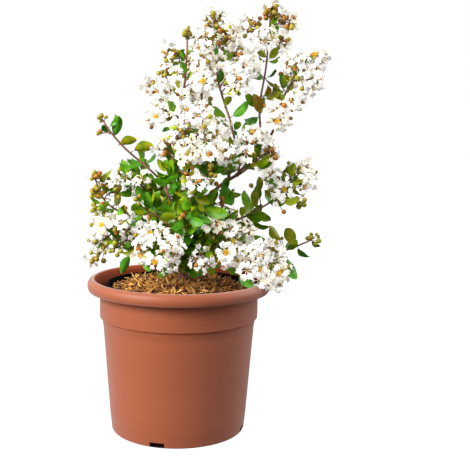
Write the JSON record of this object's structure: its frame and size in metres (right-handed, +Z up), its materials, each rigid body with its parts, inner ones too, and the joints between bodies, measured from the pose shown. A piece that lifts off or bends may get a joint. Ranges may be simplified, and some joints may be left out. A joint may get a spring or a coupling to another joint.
{
  "type": "potted crape myrtle",
  "caption": "Young flowering shrub with white flower heads, round buds and small oval leaves, growing in a round tapered terracotta-coloured pot with a rolled rim and bark mulch.",
  "frame": {"origin": "centre of the pot's flat underside, where it stands", "axes": "+Z up; the plant is seen from -Y, with +X to the viewer's right, where the crown reaches further"},
  "size_m": [0.3903, 0.3017, 0.704],
  "materials": {
    "pot": "satin terracotta plastic",
    "liner": "black plastic",
    "mulch": "shredded bark",
    "bark": "smooth reddish bark",
    "foliage": "leaves, buds and petals"
  },
  "bodies": {
    "root": {"bough_back_centre": "bark", "bough_back_low_left": "bark", "bough_back_low_right": "bark", "bough_back_mid": "bark", "bough_back_right": "bark", "bough_back_tall": "bark", "bough_centre_left": "bark", "bough_centre_right": "bark", "bough_centre_upper": "bark", "bough_left_buds": "bark", "bough_left_flank": "bark", "bough_left_long": "bark", "bough_left_low": "bark", "bough_left_mid": "bark", "bough_right_branch": "bark", "bough_right_low": "bark", "bough_right_low_spray": "bark", "bough_right_shoulder": "bark", "bough_right_spray": "bark", "bough_tall_centre": "bark", "bough_tall_left": "bark", "bough_tall_right": "bark", "liner": "liner", "mass_back_centre": "foliage", "mass_back_low_left": "foliage", "mass_back_low_right": "foliage", "mass_back_mid": "foliage", "mass_back_right": "foliage", "mass_back_tall": "foliage", "mass_centre_left": "foliage", "mass_centre_right": "foliage", "mass_centre_upper": "foliage", "mass_front_left_low": "foliage", "mass_front_mid": "foliage", "mass_front_right_low": "foliage", "mass_heart_left": "foliage", "mass_heart_right": "foliage", "mass_inner_front": "foliage", "mass_left_buds": "foliage", "mass_left_flank": "foliage", "mass_left_long": "foliage", "mass_left_low": "foliage", "mass_left_mid": "foliage", "mass_right_branch": "foliage", "mass_right_low": "foliage", "mass_right_low_spray": "foliage", "mass_right_shoulder": "foliage", "mass_right_spray": "foliage", "mass_tall_centre": "foliage", "mass_tall_left": "foliage", "mass_tall_right": "foliage", "mulch": "mulch", "pot": "pot", "trunk": "bark"}
  },
  "joints": []
}
